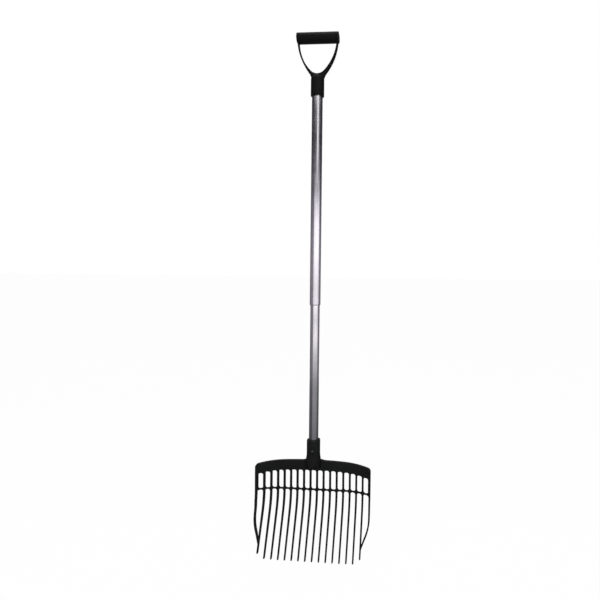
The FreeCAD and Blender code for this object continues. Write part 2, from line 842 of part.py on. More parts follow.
def make_rib():
    body = new_body("cross_rib")
    body.AllowCompound = True
    half = size("rib_height") / 2
    corner = size("rib_corner")
    band = new_sketch(body, "band", "XY_Plane", rib_z - half - corner)
    draw_band(band, size("rib_depth"))
    extrude(body, band, "Pad", "band_pad", (half + corner) * 2)
    end_gaps = draw_rib_gaps(body, "end_gaps", (0, tine_count))
    extrude(body, end_gaps, "Pocket", "end_gaps_cut", both=True)
    gap = draw_rib_gaps(body, "gap", (1,))
    first_cut = extrude(body, gap, "Pocket", "gap_cut", both=True)
    row = body.newObject("PartDesign::LinearPattern", "cross_rib_gap_row")
    row.Originals = [first_cut]
    row.Direction = (gap, ["H_Axis"])
    row.Occurrences = tine_count - 1
    row.setExpression("Length", (size("pitch") * (tine_count - 2)).text)
    body.Tip = row
    bars = new_sketch(body, "bars", "XZ_Plane")
    drawing = Drawing(bars)
    for number in range(tine_count + 2):
        left, right = bar_edges(number)
        if number == 0:
            left = left - size("overrun")
        if number == tine_count + 1:
            right = right + size("overrun")
        drawing.outline([
            (left, rib_z - half - corner - size("overrun")),
            (right, rib_z - half - corner - size("overrun")),
            (right, rib_z + half + corner + size("overrun")),
            (left, rib_z + half + corner + size("overrun")),
        ])
    drawing.finish()
    extrude(body, bars, "Pocket", "bars_cut", both=True)
    return body


def tip_rise(number):
    """How far the tip of tine 1 to 16 stops above the longest tips."""
    from_side = min(number, tine_count + 1 - number)
    names = {1: "outer_tip_rise", 2: "second_tip_rise", 3: "third_tip_rise"}
    return size(names[from_side]) if from_side in names else zero


def make_tine(number):
    body = new_body("tine_%02d" % number)
    half = size("tine_depth") / 2
    half_tip = size("tip_depth") / 2
    radius = size("bend_radius")
    bend_top = bend_z + turned_by(radius, "tan", "tine_lean", half=True)
    end_z = tip_z + tip_rise(number) + half_tip
    end_y = -turned_by(bend_z - end_z, "tan", "tine_lean")
    tip_y = turned_by(half_tip, "cos", "tine_lean")
    tip_up = turned_by(half_tip, "sin", "tine_lean")
    back = radius + half
    front = radius - half
    profile = new_sketch(body, "profile", "YZ_Plane")
    draw_outline(profile, [
        (half, tine_root_z),
        (-half, tine_root_z),
        (-half, bend_top),
        (turned_by(front, "cos", "tine_lean") - radius,
         bend_top - turned_by(front, "sin", "tine_lean")),
        (end_y - tip_y, end_z + tip_up),
        (end_y + tip_y, end_z - tip_up),
        (turned_by(back, "cos", "tine_lean") - radius,
         bend_top - turned_by(back, "sin", "tine_lean")),
        (half, bend_top),
    ], {
        2: (front, -1),
        4: (half_tip * tip_round_share, 1),
        6: (back, 1),
    })
    extrude(body, profile, "Pad", "profile_pad", size("tine_width"), both=True)
    sides = new_sketch(body, "taper", "XZ_Plane")
    low = end_z - size("tip_depth")
    drawing = Drawing(sides)
    for side in (1, -1):
        drawing.outline([
            (size("tine_width") / 2 * side, bend_z),
            (size("tip_width") / 2 * side, low),
            ((size("tine_width") + size("overrun")) * side, low),
            ((size("tine_width") + size("overrun")) * side, bend_z),
        ])
    drawing.finish()
    extrude(body, sides, "Pocket", "taper_cut", both=True)
    shift = number - (tine_count + 1) / 2
    place(body, x=size("pitch") * shift, y=wall_y(size("pitch") * abs(shift)))
    return body


def rail_section(x, y, z, width, depth):
    corners = [
        FreeCAD.Vector(x - width / 2, y - depth / 2, z),
        FreeCAD.Vector(x + width / 2, y - depth / 2, z),
        FreeCAD.Vector(x + width / 2, y + depth / 2, z),
        FreeCAD.Vector(x - width / 2, y + depth / 2, z),
    ]
    return Part.makePolygon(corners + corners[:1])


def make_rail(label, side, tine):
    """An outer rail, which follows the tines and then turns in to meet the last one.

    It bends in two directions at once, so it is lofted through level sections.
    """
    lean = math.radians(angles["tine_lean"])
    turn = math.radians(angles["rail_turn"])
    outer_x = rail_x.value
    inner_x = last_tine_x.value
    bend_radius = sizes["bend_radius"]
    bend_top = bend_z.value + bend_radius * math.tan(lean / 2)
    stations = [(tine_root_z.value, 0.0, outer_x)]
    for step in range(bend_steps + 1):
        part_lean = lean * step / bend_steps
        level = bend_top - bend_radius * math.sin(part_lean)
        stations.append((level, bend_radius * (1 - math.cos(part_lean)), outer_x))
    turn_radius = sizes["rail_turn_radius"]
    turned_x = outer_x - turn_radius * (1 - math.cos(turn))
    straight = (turned_x - inner_x) / math.tan(turn)
    slopes = [(sizes["rail_straight_length"] + turn_radius * math.sin(turn * step / turn_steps),
               outer_x - turn_radius * (1 - math.cos(turn * step / turn_steps)))
              for step in range(turn_steps + 1)]
    slopes.append((slopes[-1][0] + straight, inner_x))
    for slope, x in slopes:
        back = sizes["rail_back"] * math.sin(math.pi * slope / slopes[-1][0])
        stations.append((bend_z.value - slope * math.cos(lean), slope * math.sin(lean) - back, x))
    whole = stations[0][0] - stations[-1][0]
    sections = []
    for level, forward, x in stations:
        share = (stations[0][0] - level) / whole
        width = sizes["rail_width"] + (sizes["rail_end_width"] - sizes["rail_width"]) * share
        depth = sizes["tine_depth"] + (sizes["rail_end_depth"] - sizes["tine_depth"]) * share
        y = wall_y(Size(x, "0")).value - forward
        sections.append(rail_section(x * side, y, level, width, depth))
    whole_rail = Part.makeLoft(sections, True, True).cut(tine.Shape)
    rail = doc.addObject("Part::Feature", label)
    rail.Label = label
    rail.Shape = max(whole_rail.Solids, key=lambda solid: solid.Volume)
    return rail


# Build

make_yoke()
make_grip_pieces()
grip_screw = make_screw("grip_screw", "grip_screw")
place(grip_screw, y=size("ferrule_radius") - size("grip_seat_depth"), z=grip_screw_z,
      axis=x_axis, angle=-90)
make_tubes()
make_lock()
make_socket()
head_screw = make_screw("head_screw", "head_screw")
place(head_screw, y=size("head_seat_depth") - size("socket_radius"), z=head_screw_z,
      axis=x_axis, angle=90)
make_crossbar("head_crossbar", (1, -1))
make_crossbar("crossbar_end_left", (-1,))
make_crossbar("crossbar_end_right", (1,))
make_rib()
tines = [make_tine(number) for number in range(1, tine_count + 1)]
doc.recompute()
make_rail("side_rail_left", -1, tines[0])
make_rail("side_rail_right", 1, tines[-1])
doc.recompute()


# Check and write

pieces = []
for item in doc.Objects:
    if "Invalid" in item.State or "Error" in item.State:
        raise RuntimeError("%s did not build: %s" % (item.Label, item.State))
    if item.TypeId in ("PartDesign::Pocket", "PartDesign::Groove"):
        if item.Shape.Volume >= item.BaseFeature.Shape.Volume:
            raise RuntimeError("%s cuts nothing" % item.Label)
    if item.TypeId in ("PartDesign::Body", "Part::Feature"):
        pieces.append(item)

os.makedirs("parts", exist_ok=True)
for piece in pieces:
    if piece.Shape.isNull() or not piece.Shape.isValid():
        raise RuntimeError("%s has no valid solid" % piece.Label)
    piece.Shape.exportStep("parts/%s.step" % piece.Label)
    print(piece.Label, len(piece.Shape.Solids), "solids", round(piece.Shape.Volume / 1000, 2), "cm3")
print(len(pieces), "pieces")
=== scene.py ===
import math
import bmesh
import bpy
from mathutils import Matrix, Vector


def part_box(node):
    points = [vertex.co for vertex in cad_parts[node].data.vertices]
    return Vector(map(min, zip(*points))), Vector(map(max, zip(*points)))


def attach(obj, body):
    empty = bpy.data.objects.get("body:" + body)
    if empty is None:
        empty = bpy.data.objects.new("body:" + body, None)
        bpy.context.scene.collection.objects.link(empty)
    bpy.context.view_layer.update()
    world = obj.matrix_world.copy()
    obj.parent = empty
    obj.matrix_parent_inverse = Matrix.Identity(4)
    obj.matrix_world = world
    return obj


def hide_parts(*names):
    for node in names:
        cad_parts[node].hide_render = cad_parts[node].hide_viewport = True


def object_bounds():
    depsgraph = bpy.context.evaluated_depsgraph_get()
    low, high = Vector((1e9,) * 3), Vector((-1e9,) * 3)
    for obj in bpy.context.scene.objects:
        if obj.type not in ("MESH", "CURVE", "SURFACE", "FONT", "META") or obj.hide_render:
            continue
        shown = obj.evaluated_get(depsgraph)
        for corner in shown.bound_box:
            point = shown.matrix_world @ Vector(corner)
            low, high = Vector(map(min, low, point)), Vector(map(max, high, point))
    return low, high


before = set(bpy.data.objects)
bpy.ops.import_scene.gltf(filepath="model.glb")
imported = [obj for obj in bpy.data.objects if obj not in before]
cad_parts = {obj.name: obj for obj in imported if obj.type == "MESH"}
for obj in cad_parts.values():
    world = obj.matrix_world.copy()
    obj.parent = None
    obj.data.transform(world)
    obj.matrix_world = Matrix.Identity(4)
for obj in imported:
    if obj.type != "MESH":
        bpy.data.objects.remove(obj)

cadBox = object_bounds()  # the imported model's box, before anything is added
scene = bpy.context.scene
scene.view_settings.view_transform = "Standard"
mm = 0.001  # sizes below are in millimetres, the scene is in metres


# Camera: upright, a little right of the fork, with the framing done by shift
camera = dict(
    lens=25.103,
    sensor=36.0,
    place=(0.2845, -1.1501, -0.5074),
    yaw=4.1256,  # degrees to the left
    pitch=-0.0129,  # degrees up
    roll=0.6504,  # degrees, the fork's top leans right in the picture
    shift=(-0.1459, -0.05),
)


def makeCamera(camera):
    data = bpy.data.cameras.new("frontCamera")
    data.lens = camera["lens"]
    data.sensor_width = camera["sensor"]
    data.shift_x, data.shift_y = camera["shift"]
    data.dof.use_dof = False
    data.clip_start = 0.01
    upright = Matrix.Rotation(math.radians(90 + camera["pitch"]), 4, "X")
    turn = Matrix.Rotation(math.radians(camera["yaw"]), 4, "Z")
    roll = Matrix.Rotation(math.radians(camera["roll"]), 4, "Z")
    thing = bpy.data.objects.new("frontCamera", data)
    thing.matrix_world = Matrix.Translation(camera["place"]) @ turn @ upright @ roll
    scene.collection.objects.link(thing)
    scene.camera = thing


makeCamera(camera)
print("camera stands")


# Materials

# sRGB hex to the linear colour that a shader takes
def linear(hexColor):
    shares = [int(hexColor[start:start + 2], 16) / 255 for start in (1, 3, 5)]
    return [s / 12.92 if s <= 0.04045 else ((s + 0.055) / 1.055) ** 2.4 for s in shares] + [1.0]


# One node with its settings, its own values and its links
def addNode(tree, kind, settings=None, values=None, links=None):
    node = tree.nodes.new(kind)
    for name, value in (settings or {}).items():
        setattr(node, name, value)
    for name, value in (values or {}).items():
        node.inputs[name].default_value = value
    for name, socket in (links or {}).items():
        tree.links.new(socket, node.inputs[name])
    return node


def newMaterial(name):
    material = bpy.data.materials.new(name)
    material.use_nodes = True
    tree = material.node_tree
    tree.nodes.clear()
    return material, tree


# A point's place in its object, in metres
def objectPlace(tree):
    return addNode(tree, "ShaderNodeTexCoord").outputs["Object"]


def finishMaterial(tree, values, links):
    shader = addNode(tree, "ShaderNodeBsdfPrincipled", values=values, links=links)
    addNode(tree, "ShaderNodeOutputMaterial", links={"Surface": shader.outputs["BSDF"]})


# Noise with blotches about as wide as size, in millimetres
def addNoise(tree, place, size, values):
    noise = addNode(tree, "ShaderNodeTexNoise", values={"Scale": 1 / (size * mm), **values},
                    links={"Vector": place})
    return noise.outputs["Fac"]


# The look's dark and light shade mixed by a pattern; 6, 7 and 2 are the node's colour sockets
def mixShades(tree, look, share):
    mix = addNode(tree, "ShaderNodeMix", {"data_type": "RGBA"}, {
        6: linear(look["dark"]), 7: linear(look["light"])}, {0: share})
    return mix.outputs[2]


# Roughness between the look's two limits, following a pattern from start to end
def spreadRoughness(tree, look, share, start=0.3, end=0.7):
    spread = addNode(tree, "ShaderNodeMapRange", values={
        "From Min": start, "From Max": end, "To Min": look["roughness"][0],
        "To Max": look["roughness"][1]}, links={"Value": share})
    return spread.outputs["Result"]


# Bump whose depth is the look's relief, a share of the pattern's size
def addBump(tree, look, height, size):
    bump = addNode(tree, "ShaderNodeBump", values={
        "Strength": look["bump"], "Distance": size * mm * look["relief"]},
        links={"Height": height})
    return bump.outputs["Normal"]


# Polypropylene, injection moulded in a spark-eroded tool: black, with a fine even grain
# that keeps the gloss low, and faint flow marks that vary the sheen over a few centimetres
def mouldedPolypropylene(name, look):
    material, tree = newMaterial(name)
    place = objectPlace(tree)
    grain = addNoise(tree, place, look["grain"], {"Detail": 2.0, "Roughness": 0.6})
    flow = addNoise(tree, place, look["flow"], {"Detail": 3.0, "Distortion": 0.6})
    finishMaterial(tree, {"IOR": 1.49, "Specular IOR Level": look["gloss"]}, {
        "Base Color": mixShades(tree, look, flow),
        "Roughness": spreadRoughness(tree, look, flow),
        "Normal": addBump(tree, look, grain, look["grain"])})
    return material


gripLook = dict(dark="#0b0b0c", light="#101011", roughness=(0.5, 0.62), gloss=0.08,
                grain=1.2, flow=30.0, bump=0.25, relief=0.25)  # coarser than a real grain, to show
headLook = dict(dark="#101011", light="#191a1b", roughness=(0.5, 0.64), gloss=0.12,
                grain=1.4, flow=45.0, bump=0.2, relief=0.25)


# Aluminium tube, drawn, then anodised in a natural satin: a pale metal with the faintest
# violet cast, fine lines along its length and a soft highlight
def anodisedAluminium(name, look):
    material, tree = newMaterial(name)
    place = objectPlace(tree)
    across, along = 1 / (look["lineWidth"] * mm), 1 / (look["lineLength"] * mm)
    stretch = addNode(tree, "ShaderNodeMapping", values={"Scale": (across, across, along)},
                      links={"Vector": place})
    lines = addNode(tree, "ShaderNodeTexNoise", values={"Scale": 1.0, "Detail": 3.0},
                    links={"Vector": stretch.outputs["Vector"]}).outputs["Fac"]
    cloud = addNoise(tree, place, look["cloud"], {"Detail": 2.0})
    finishMaterial(tree, {"Metallic": 1.0}, {
        "Base Color": mixShades(tree, look, lines),
        "Roughness": spreadRoughness(tree, look, cloud),
        "Normal": addBump(tree, look, lines, look["lineWidth"])})
    return material


upperLook = dict(dark="#eae6f0", light="#f4f1f7", roughness=(0.2, 0.27),
                 lineWidth=0.8, lineLength=90.0, cloud=60.0, bump=0.08, relief=0.1)
lowerLook = dict(dark="#e6e2ea", light="#f4f2f6", roughness=(0.16, 0.22),
                 lineWidth=0.8, lineLength=120.0, cloud=60.0, bump=0.07, relief=0.1)


# Carbon steel, zinc plated: a cool grey metal, slightly blotched by the bath
def zincPlatedSteel(name, look):
    material, tree = newMaterial(name)
    bath = addNoise(tree, objectPlace(tree), look["blotch"], {"Detail": 4.0})
    finishMaterial(tree, {"Metallic": 1.0}, {
        "Base Color": mixShades(tree, look, bath),
        "Roughness": spreadRoughness(tree, look, bath, 0.0, 1.0)})
    return material


steelLook = dict(dark="#a3a4a2", light="#c9cac6", roughness=(0.25, 0.45), blotch=2.5)


# Carbon steel, phosphated black and oiled: nearly as dark as the plastic round it, with a
# dull glint where an edge catches light
def blackenedSteel(name, look):
    material, tree = newMaterial(name)
    crystals = addNoise(tree, objectPlace(tree), look["crystal"], {"Detail": 3.0})
    finishMaterial(tree, {"Metallic": 0.6, "Roughness": look["roughness"]}, {
        "Base Color": mixShades(tree, look, crystals)})
    return material


blackLook = dict(dark="#343435", light="#565657", roughness=0.3, crystal=0.8)


# Nylon 6, unfilled and moulded: milky, with a little light in its depth
def naturalNylon(name, look):
    material, tree = newMaterial(name)
    haze = addNoise(tree, objectPlace(tree), look["haze"], {"Detail": 2.0})
    finishMaterial(tree, {
        "IOR": 1.53, "Roughness": look["roughness"], "Subsurface Weight": 0.2,
        "Subsurface Scale": 0.002}, {
        "Base Color": mixShades(tree, look, haze),
        "Normal": addBump(tree, look, haze, look["haze"])})
    return material


nylonLook = dict(dark="#dcd6c4", light="#ece8da", roughness=0.42, haze=6.0, bump=0.1,
                 relief=0.05)

finishes = dict(
    grip_plastic=mouldedPolypropylene("mouldedPolypropyleneGrip", gripLook),
    head_plastic=mouldedPolypropylene("mouldedPolypropyleneHead", headLook),
    tube_aluminium=anodisedAluminium("anodisedAluminiumUpperTube", upperLook),
    fastener_steel=zincPlatedSteel("zincPlatedSteelFasteners", steelLook),
    blackened_steel=blackenedSteel("blackenedSteelScrew", blackLook),
    lock_nylon=naturalNylon("naturalNylonLock", nylonLook),
)
lowerTubeFinish = anodisedAluminium("anodisedAluminiumLowerTube", lowerLook)
print("materials mixed")


# Tools for the pieces

near = 0.01  # millimetres: points of a drawing nearer than this are one
touch = 0.001  # and the same for the corners of a shape


# A node's lowest and highest corner, in millimetres
def nodeBox(node):
    return [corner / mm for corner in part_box(node)]


def middleHeight(node):
    low, high = nodeBox(node)
    return (low.z + high.z) / 2


def within(share):
    return min(1.0, max(0.0, share))


def blend(start, end, share):
    return start + (end - start) * share


# Points of a round stretch about a centre, between two angles in degrees
def arcPoints(centerX, centerZ, radius, start, end, steps):
    angles = [math.radians(start + (end - start) * step / steps) for step in range(steps + 1)]
    return [(centerX + radius * math.cos(angle), centerZ + radius * math.sin(angle))
            for angle in angles]


# Points of a round stretch between two points; turn is 1 to the left and -1 to the right
def arcBetween(start, end, radius, turn, steps):
    start, end = Vector(start), Vector(end)
    chord = end - start
    sideways = Vector((-chord.y, chord.x)).normalized() * turn
    center = (start + end) / 2 + sideways * math.sqrt(radius ** 2 - (chord.length / 2) ** 2)
    first = math.degrees(math.atan2(start.y - center.y, start.x - center.x))
    last = math.degrees(math.atan2(end.y - center.y, end.x - center.x))
    if turn > 0 and last < first:
        last += 360
    if turn < 0 and last > first:
        last -= 360
    return arcPoints(center.x, center.y, radius, first, last, steps)


# A closed line through points in the front plane; points in the same place are left out
def addLoop(bm, points):
    kept = [point for number, point in enumerate(points)
            if (Vector(point) - Vector(points[number - 1])).length > near]
    verts = [bm.verts.new((x, 0, z)) for x, z in kept]
    for number, vert in enumerate(verts):
        bm.edges.new((verts[number - 1], vert))


# A slab of even depth from the filled loops of a flat drawing
def makeSlab(bm, depth):
    bmesh.ops.triangle_fill(bm, use_beauty=True, use_dissolve=False, edges=bm.edges[:])
    grown = bmesh.ops.extrude_face_region(bm, geom=bm.faces[:])
    raised = [item for item in grown["geom"] if isinstance(item, bmesh.types.BMVert)]
    bmesh.ops.translate(bm, verts=raised, vec=(0, depth, 0))
    bmesh.ops.translate(bm, verts=bm.verts[:], vec=(0, -depth / 2, 0))
    bmesh.ops.recalc_face_normals(bm, faces=bm.faces[:])


def sharpEdges(bm, degrees=30):
    return [edge for edge in bm.edges if edge.calc_face_angle(0) > math.radians(degrees)]


# The edges round a slab's front and back
def rimEdges(bm):
    return [edge for edge in sharpEdges(bm, 60)
            if abs(edge.verts[0].co.y - edge.verts[1].co.y) < touch]


def roundEdges(bm, edges, width, segments=3, clamp=True):
    bmesh.ops.bevel(bm, geom=edges, offset=width, offset_type="OFFSET", segments=segments,
                    profile=0.5, affect="EDGES", clamp_overlap=clamp, material=-1)


# A shape turned about the upright axis from its section, given as radius and height
def makeTurned(section, steps=96, hollow=False):
    bm = bmesh.new()
    verts = [bm.verts.new((radius, 0, height)) for radius, height in section]
    for first, second in zip(verts, verts[1:]):
        bm.edges.new((first, second))
    if hollow:
        bm.edges.new((verts[-1], verts[0]))
    bmesh.ops.spin(bm, geom=bm.verts[:] + bm.edges[:], cent=(0, 0, 0), axis=(0, 0, 1),
                   angle=math.tau, steps=steps, use_merge=True)
    bmesh.ops.remove_doubles(bm, verts=bm.verts[:], dist=touch)
    bmesh.ops.recalc_face_normals(bm, faces=bm.faces[:])
    return bm


def makeCylinder(radius, foot, top, steps=96):
    return makeTurned([(0, foot), (radius, foot), (radius, top), (0, top)], steps)


def makeBlock(size):
    bm = bmesh.new()
    bmesh.ops.create_cube(bm, size=1)
    bmesh.ops.scale(bm, vec=size, verts=bm.verts[:])
    return bm


# Turns a shape about an axis through the origin, then moves it
def lay(bm, degrees, axis, place):
    turn = Matrix.Rotation(math.radians(degrees), 3, axis)
    bmesh.ops.rotate(bm, matrix=turn, verts=bm.verts[:])
    bmesh.ops.translate(bm, vec=place, verts=bm.verts[:])


# Smooth all over, but for the edges where faces meet at more than 38 degrees
def smoothMesh(mesh):
    mesh.shade_smooth()
    mesh.set_sharp_from_angle(angle=math.radians(38))


# The bmesh becomes a smoothed mesh in metres
def toMesh(bm, name):
    bmesh.ops.scale(bm, vec=(mm, mm, mm), verts=bm.verts[:])
    mesh = bpy.data.meshes.new(name)
    bm.to_mesh(mesh)
    bm.free()
    smoothMesh(mesh)
    return mesh


# The mesh becomes a piece that rides on a body and stands for its CAD nodes
def addPiece(mesh, name, body, slot, nodes, finish=None):
    mesh.materials.clear()
    mesh.materials.append(finish or finishes[slot])
    piece = bpy.data.objects.new(name, mesh)
    scene.collection.objects.link(piece)
    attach(piece, body)
    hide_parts(*nodes)


# A shape with others joined to it or cut out of it; a voxel size, in millimetres, draws one
# even skin over the result
def combine(base, others, voxel=None, smoothing=0):
    helpers = []
    thing = bpy.data.objects.new("combined", toMesh(base, "combined"))
    scene.collection.objects.link(thing)
    for operation, bm in others:
        helper = bpy.data.objects.new("helper", toMesh(bm, "helper"))
        scene.collection.objects.link(helper)
        helpers.append(helper)
        step = thing.modifiers.new(operation, "BOOLEAN")
        step.operation = operation
        step.solver = "EXACT"
        step.object = helper
    if voxel:
        skin = thing.modifiers.new("skin", "REMESH")
        skin.mode = "VOXEL"
        skin.voxel_size = voxel * mm
        relax = thing.modifiers.new("relax", "SMOOTH")
        relax.factor = 0.5
        relax.iterations = smoothing
    bpy.context.view_layer.update()
    shaped = thing.evaluated_get(bpy.context.evaluated_depsgraph_get())
    mesh = bpy.data.meshes.new_from_object(shaped)
    for helper in helpers + [thing]:
        bpy.data.objects.remove(helper)
    return mesh


# Hand grip: a yoke with two arms and a ferrule, and a bar on a rod between its eyes
yoke = dict(
    depth=16.0,
    edge=1.6,
    edgeSteps=4,
    crotch=(18.5, 8.0),  # half width, and rise from its lowest point
    crotchHeight=36.6,
    foot=(24.8, 40.4),  # where an arm leaves the shoulder
    shoulder=(18.5, 28.0),
    root=(17.0, 25.0),  # the arms' lower corner, hidden in the ferrule
    innerRadius=129.2,
    outerRadius=162.0,
    shoulderRadius=36.0,
    armInset=1.0,  # an arm's inner face outside its eye's
    armOuterInset=0.3,  # and its outer face inside its eye's
    armTopGap=8.0,  # the arms end this far below the bar's middle
    armSteps=24,
    cornerSteps=6,
    eyeEdge=0.8,
    ferruleEdge=0.8,
    shoulderLean=(2.0, 6.0),  # the ferrule draws in by 2 over its top 6
    shoulderTop=(9.0, 35.0),  # the ferrule's domed top, radius and height
    domeAngle=15,  # degrees; flatter edges of the ferrule stay as they are
    boreGap=0.25,
    boreTop=19.0,
    boreStart=5.0,  # the cut for the bore starts this far under the ferrule
    seatDepth=1.8,
    seatRadius=5.0,
    seatLength=9.0,
    seatSteps=48,
    skin=0.75,
    skinSmoothing=4,
)


def makeYoke(yoke):
    low, high = nodeBox("grip_yoke")
    barLow, barHigh = nodeBox("grip_bar")
    barZ = middleHeight("grip_bar")
    barRadius = (barHigh.z - barLow.z) / 2
    eyeIn, eyeOut = barHigh.x, high.x
    ferruleRadius = high.y
    armTop = barZ - yoke["armTopGap"]
    armIn, armOut = eyeIn + yoke["armInset"], eyeOut - yoke["armOuterInset"]
    halfCrotch, rise = yoke["crotch"]
    crotchRadius = (halfCrotch ** 2 / rise + rise) / 2
    crotchSide = (halfCrotch, yoke["crotchHeight"] + rise)
    shoulderZ = yoke["shoulder"][1]
    few, many = yoke["cornerSteps"], yoke["armSteps"]
    right = [(0, yoke["root"][1]), yoke["root"]]
    right += arcBetween(yoke["shoulder"], yoke["foot"], yoke["shoulderRadius"], -1, few)
    right += arcBetween(yoke["foot"], (armOut, armTop), yoke["outerRadius"], 1, many)
    right += arcBetween((armIn, armTop), crotchSide, yoke["innerRadius"], -1, many)
    right += arcBetween(crotchSide, (0, yoke["crotchHeight"]), crotchRadius, -1, few)
    bm = bmesh.new()
    addLoop(bm, right + [(-x, z) for x, z in reversed(right) if x > near])
    makeSlab(bm, yoke["depth"])
    roundEdges(bm, rimEdges(bm), yoke["edge"], yoke["edgeSteps"], clamp=False)
    joined = []
    for side in (-1, 1):
        eye = makeCylinder(barRadius, 0, eyeOut - eyeIn)
        roundEdges(eye, sharpEdges(eye), yoke["eyeEdge"])
        lay(eye, 90 * side, "Y", (eyeIn * side, 0, barZ))
        joined.append(("UNION", eye))
    domeRadius, domeTop = yoke["shoulderTop"]
    leanIn, leanRise = yoke["shoulderLean"]
    ferrule = makeTurned([
        (0, low.z), (ferruleRadius, low.z), (ferruleRadius, shoulderZ - leanRise),
        (ferruleRadius - leanIn, shoulderZ), (domeRadius, domeTop), (0, domeTop)])
    roundEdges(ferrule, sharpEdges(ferrule, yoke["domeAngle"]), yoke["ferruleEdge"])
    joined.append(("UNION", ferrule))
    boreRadius = nodeBox("upper_tube")[1].x + yoke["boreGap"]
    bore = makeCylinder(boreRadius, low.z - yoke["boreStart"], yoke["boreTop"])
    joined.append(("DIFFERENCE", bore))
    seat = makeCylinder(yoke["seatRadius"], 0, yoke["seatLength"], yoke["seatSteps"])
    lay(seat, -90, "X", (0, ferruleRadius - yoke["seatDepth"], middleHeight("grip_screw")))
    joined.append(("DIFFERENCE", seat))
    mesh = combine(bm, joined, yoke["skin"], yoke["skinSmoothing"])
    mesh.shade_smooth()
    addPiece(mesh, "gripYoke", "handle", "grip_plastic", ["grip_yoke"])


# The bar and its two end caps, each with a shallow dimple
bar = dict(
    edge=0.5,
    capEdge=0.7,
    capEdgeSteps=4,
    dimple=(4.0, 5.0),  # radius at its floor and at its mouth
    dimpleDepth=0.4,
)


def makeBar(bar):
    low, high = nodeBox("grip_bar")
    barZ = middleHeight("grip_bar")
    radius = (high.z - low.z) / 2
    bm = makeCylinder(radius, -high.x, high.x)
    roundEdges(bm, sharpEdges(bm), bar["edge"])
    lay(bm, 90, "Y", (0, 0, barZ))
    addPiece(toMesh(bm, "gripBar"), "gripBar", "handle", "grip_plastic", ["grip_bar"])
    eyeOut = nodeBox("grip_yoke")[1].x
    outer = nodeBox("grip_cap_right")[1].x - eyeOut
    dimpleFloor, dimpleMouth = bar["dimple"]
    for side, node, name in ((1, "grip_cap_right", "gripCapRight"),
                             (-1, "grip_cap_left", "gripCapLeft")):
        bm = makeTurned([
            (0, 0), (radius, 0), (radius, outer), (dimpleMouth, outer),
            (dimpleFloor, outer - bar["dimpleDepth"]), (0, outer - bar["dimpleDepth"])])
        rim = [edge for edge in sharpEdges(bm) if edge.verts[0].co.xy.length > radius - near]
        roundEdges(bm, rim, bar["capEdge"], bar["capEdgeSteps"])
        lay(bm, 90 * side, "Y", (eyeOut * side, 0, barZ))
        addPiece(toMesh(bm, name), name, "handle", "grip_plastic", [node])


# Pan-head screws with a cross recess
screw = dict(
    side=0.4,  # the head's upright side, a share of its height
    crown=0.55,  # its flat top, a share of its radius
    edge=0.25,  # its rounded edges, a share of its height
    edgeAngle=20,  # degrees
    edgeFrom=0.1,  # only edges this far above the head's underside are rounded
    slotWidth=1.1,
    slotLength=4.4,
    slotDepth=1.1,
    point=2.0,
    steps=40,
)


# Made upright with its head's underside at the origin, then laid along Y; out is 1 for a
# head at the back and -1 for one at the front
def makeScrew(screw, node, name, body, slot, headHeight, shankRadius, out, turn):
    low, high = nodeBox(node)
    headRadius = (high.x - low.x) / 2
    length = high.y - low.y - headHeight
    bm = makeTurned([
        (0, -length), (shankRadius, screw["point"] - length), (shankRadius, 0), (headRadius, 0),
        (headRadius, headHeight * screw["side"]), (headRadius * screw["crown"], headHeight),
        (0, headHeight)], screw["steps"])
    top = [edge for edge in sharpEdges(bm, screw["edgeAngle"])
           if min(vert.co.z for vert in edge.verts) > screw["edgeFrom"]]
    roundEdges(bm, top, headHeight * screw["edge"])
    cuts = []
    for angle in (0, 90):
        arm = makeBlock((screw["slotLength"], screw["slotWidth"], 2 * screw["slotDepth"]))
        lay(arm, angle + turn, "Z", (0, 0, headHeight))
        cuts.append(("DIFFERENCE", arm))
    mesh = combine(bm, cuts)
    seatY = (high.y - headHeight) if out > 0 else (low.y + headHeight)
    laid = Matrix.Rotation(math.radians(-90 * out), 4, "X")
    mesh.transform(Matrix.Translation((0, seatY * mm, middleHeight(node) * mm)) @ laid)
    smoothMesh(mesh)
    addPiece(mesh, name, body, slot, [node])


makeYoke(yoke)
makeBar(bar)
makeScrew(screw, "grip_screw", "gripScrew", "handle", "fastener_steel",
          headHeight=1.6, shankRadius=2.0, out=1, turn=15)
print("hand grip made")


# Tubes: the upper one is rolled in at its foot, where the lower one slides out
tube = dict(
    wall=1.5,
    mouthLength=5.0,
    mouthGap=0.08,
    mouthRound=(0.3, 0.45),  # halfway point of the roll: share drawn in, share of its length
    upperEdge=0.3,
    lowerEdge=0.5,
    edgeSteps=2,
    edgeAngle=50,  # degrees; flatter edges of the roll stay as they are
)


